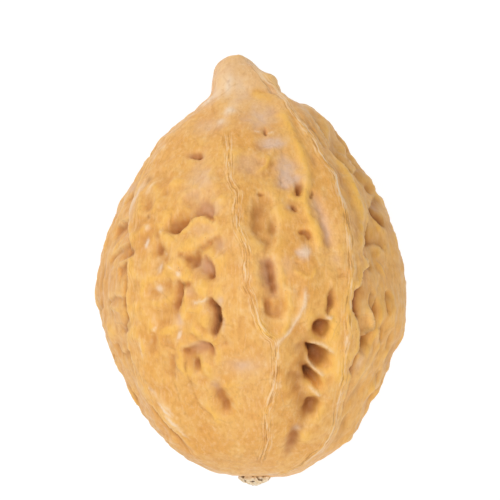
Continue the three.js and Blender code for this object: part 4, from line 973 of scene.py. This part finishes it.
def shell_material():
    m = Nodes("walnut_shell")
    mm = 1 / MM  # object coordinates to the walnut's millimetres
    plain = m.scaled(mm, mm, mm)
    long = m.scaled(mm, mm * 0.16, mm)
    shade, bloom = m.attribute("shade"), m.attribute("bloom")
    pale, warm, rise = m.attribute("pale"), m.attribute("warm"), m.attribute("rise")

    blotch = m.noise(plain, 0.35, 3, 0.55)
    mottle = m.noise(plain, 1.3, 3, 0.6)
    fibre = m.noise(long, 3.2, 3, 0.6)
    grain = m.noise(plain, 6.0, 2, 0.6)

    colour = m.mix(m.span(blotch, 0.38, 0.62), linear(238, 174, 92), linear(243, 186, 106))
    # Brown and pale mottling and fibres; yellow crests as painted highlight and brown hollows as painted
    # shade, from the rise.
    for field, start, full, amount, tone in (
        (mottle, 0.48, 0.66, 0.5, (228, 160, 84)),
        (mottle, 0.46, 0.28, 0.5, (248, 200, 134)),
        (fibre, 0.53, 0.68, 0.36, (252, 210, 152)),
        (fibre, 0.46, 0.30, 0.26, (216, 150, 80)),
        (rise, 0.01, 0.18, 0.62, (254, 198, 100)),
        (rise, 0.0, -0.3, 0.75, (206, 138, 74)),
    ):
        colour = m.mix(m.span(field, start, full, 0.0, amount), colour, linear(*tone))
    # Warm: the nut's own yellow and orange, and also painted highlight on crests, fold edges and the lit
    # sides of pits.
    colour = m.mix(m.times(warm, 0.7), colour, linear(254, 196, 94))
    bloom_amount = m.times(bloom, m.span(mottle, 0.3, 0.6, 0.7, 1.0))
    colour = m.mix(bloom_amount, colour, linear(234, 198, 170))
    # Pale: real pale lines and patches, and also painted white highlights (glints and fold edges).
    colour = m.mix(m.math("MINIMUM", pale, 0.95), colour, linear(252, 226, 196))
    # Painted shade: brown, and dark brown where it is deepest; the same tint holds real dark specks.
    colour = m.mix(m.span(shade, 0.0, 0.75), colour, linear(172, 108, 54))
    colour = m.mix(m.span(shade, 0.45, 1.25), colour, linear(96, 52, 22))
    # Fine whitish flecks, less in the shaded hollows, and fine brown ones.
    fleck = m.noise(m.scaled(mm, mm * 0.4, mm), 2.6, 3, 0.6)
    lit = m.span(shade, 0.3, 0.0, 0.2, 1.0)
    light_fleck = m.times(m.span(fleck, 0.54, 0.68), lit)
    colour = m.mix(m.times(light_fleck, 0.2), colour, linear(252, 214, 166))
    colour = m.mix(m.span(fleck, 0.46, 0.34, 0.0, 0.2), colour, linear(204, 138, 72))

    # A net of hairline cracks, which shows here and there.
    cracks = m.voronoi(m.scaled(mm, mm * 0.55, mm), 0.42, "DISTANCE_TO_EDGE")
    crack_here = m.span(m.noise(plain, 0.5, 2), 0.5, 0.62)
    crack = m.times(m.span(cracks, 0.035, 0.008), crack_here)
    colour = m.mix(m.times(crack, 0.14), colour, linear(176, 112, 56))

    # The seam and the veins are bundles of fine, broken, pale and brown lines.
    sway = m.math("MULTIPLY_ADD", m.noise(long, 0.9, 2), 0.24, -0.2)
    sway = m.math("MULTIPLY_ADD", m.noise(plain, 2.2, 2), 0.16, sway)
    seam_to = m.math("ADD", m.attribute("seam_off"), sway)
    seam_line = m.streaks(seam_to, 0.075 * mm, 7.5)
    seam_near = m.math("ABSOLUTE", seam_to)
    seam_show = m.attribute("seam_show")
    seam_band = m.times(m.span(seam_near, 0.42, 0.12), seam_show)
    seam_core = m.times(m.span(seam_near, 0.1, 0.02), seam_show)
    seam_side = m.span(seam_near, 1.3, 0.3)
    seam_pale = m.math("MAXIMUM", m.times(seam_band, m.span(seam_line, 0.5, 0.62)),
                       m.times(seam_core, m.span(m.noise(long, 1.1, 2), 0.4, 0.62, 0.1, 0.9)))
    seam_dark = m.times(m.span(seam_near, 0.6, 0.2), m.span(seam_line, 0.44, 0.34))
    vein_to = m.math("ADD", m.attribute("vein_off"), sway)
    vein_line = m.streaks(vein_to, 0.1 * mm, 7.5)
    vein_near = m.math("ABSOLUTE", vein_to)
    vein_band = m.times(m.span(vein_near, 0.75, 0.12), m.attribute("vein_show"))
    vein_pale = m.times(vein_band, m.span(vein_line, 0.52, 0.62))
    vein_dark = m.times(vein_band, m.span(vein_line, 0.45, 0.37))
    for field, amount, tone in (
        (m.times(seam_side, m.span(seam_line, 0.52, 0.64)), 0.25, (252, 222, 178)),
        (seam_dark, 0.6, (178, 118, 62)),
        (seam_pale, 0.85, (252, 226, 192)),
        (vein_pale, 0.55, (254, 224, 182)),
        (vein_dark, 0.6, (186, 124, 64)),
    ):
        colour = m.mix(m.times(field, amount), colour, linear(*tone))
    # Tiny dark dots.
    dots = m.span(m.voronoi(plain, 1.1), 0.07, 0.03)
    dot_here = m.span(m.noise(plain, 0.8, 1), 0.5, 0.56)
    colour = m.mix(m.times(m.times(dots, dot_here), 0.45), colour, linear(140, 92, 50))
    m.link(colour, m.shader.inputs["Base Color"])

    dull = m.math("ADD", m.span(mottle, 0.3, 0.7, 0.36, 0.48), m.times(shade, 0.25))
    m.link(m.math("MINIMUM", dull, 0.9), m.shader.inputs["Roughness"])
    m.shader.inputs["Specular IOR Level"].default_value = 0.22

    normal = None
    for field, depth, strength in (
        (mottle, 0.16, 0.5),
        (fibre, 0.05, 0.5),
        (grain, 0.02, 0.4),
        (fleck, 0.04, 0.4),
        (m.math("SUBTRACT", seam_pale, seam_dark), 0.02, 0.5),
        (m.math("SUBTRACT", vein_pale, vein_dark), 0.02, 0.5),
    ):
        normal = m.bump(field, depth * MM, strength, normal)
    m.link(normal, m.shader.inputs["Normal"])
    return m.material


def stub_material():
    m = Nodes("dried_stub")
    mm = 1 / MM
    plain = m.scaled(mm, mm, mm)
    shade = m.attribute("shade")
    crumb = m.noise(plain, 2.6, 3, 0.65)
    fleck = m.noise(plain, 5.0, 2, 0.5)
    colour = m.mix(m.span(crumb, 0.35, 0.65), linear(238, 206, 160), linear(254, 236, 206))
    colour = m.mix(m.span(fleck, 0.6, 0.68, 0.0, 0.4), colour, linear(160, 112, 64))
    colour = m.mix(m.times(shade, 0.9), colour, linear(104, 66, 34))
    m.link(colour, m.shader.inputs["Base Color"])
    m.link(m.span(crumb, 0.3, 0.7, 0.75, 0.95), m.shader.inputs["Roughness"])
    m.shader.inputs["Specular IOR Level"].default_value = 0.25
    m.link(m.bump(crumb, 0.12 * MM, 0.7), m.shader.inputs["Normal"])
    return m.material


nut.data.materials.append(shell_material())
stub.data.materials.append(stub_material())
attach(nut, "root")
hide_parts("nut")
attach(stub, "root")
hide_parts("stalk_stub")

# ---- Floor, light and camera ----
middle = (low + high) / 2
size = high[1] - low[1]

floor_mesh = bpy.data.meshes.new("floor")
reach = 40 * size
floor_mesh.from_pydata([(-reach, -reach, 0), (reach, -reach, 0), (reach, reach, 0), (-reach, reach, 0)], [],
                       [(0, 1, 2, 3)])
floor = add("floor", floor_mesh)
floor.location.z = low[2] - 0.02 * MM  # just clear of the flat spot
white = bpy.data.materials.new("pale_floor")
white.use_nodes = True
cover = white.node_tree.nodes["Principled BSDF"]
cover.inputs["Base Color"].default_value = (0.25, 0.25, 0.25, 1)
cover.inputs["Roughness"].default_value = 0.9
cover.inputs["Specular IOR Level"].default_value = 0.1
cover.inputs["Emission Color"].default_value = (1, 1, 1, 1)
cover.inputs["Emission Strength"].default_value = 0.85
floor_mesh.materials.append(white)


def panel(name, place, width, watts):
    """A soft square light that faces the nut. Its place, from the middle of the nut, and its width are
    in lengths of the nut. Its power is for a nut 40 mm long."""
    light = bpy.data.lights.new(name, "AREA")
    light.shape = "SQUARE"
    light.size = width * size
    light.energy = watts * (size / 0.04) ** 2
    lamp = add(name, light)
    lamp.location = middle + np.array(place) * size
    aim = Vector(middle) - lamp.location
    lamp.rotation_euler = aim.to_track_quat("-Z", "Y").to_euler()


panel("key", (-6.0, 4.0, 5.0), 2.2, 0.42)
panel("overhead", (0.2, 0.3, 12.0), 7.0, 1.16)
panel("fill_right", (7.0, 0.0, 4.0), 5.0, 0.06)
panel("fill_low", (1.0, -8.0, 5.0), 5.0, 0.44)

world = bpy.data.worlds.new("soft_room")
world.use_nodes = True
world.node_tree.nodes["Background"].inputs["Color"].default_value = (1, 1, 1, 1)
world.node_tree.nodes["Background"].inputs["Strength"].default_value = 0.15
scene = bpy.context.scene
scene.world = world
scene.view_settings.view_transform = "Standard"

# Straight above, the tip at the top of the picture. These are in lengths of the nut.
PICTURE_WIDTH = 1.152
PICTURE_RIGHT, PICTURE_UP = -0.001, 0.0485  # from the middle of the nut to the middle of the picture
lens = bpy.data.cameras.new("camera")
lens.lens = 250
lens.sensor_width = 36
camera = add("camera", lens)
away = PICTURE_WIDTH * lens.lens / lens.sensor_width
camera.location = middle + np.array([PICTURE_RIGHT, PICTURE_UP, away]) * size
camera.rotation_euler = (0, 0, 0)
scene.camera = camera

bpy.context.view_layer.update()
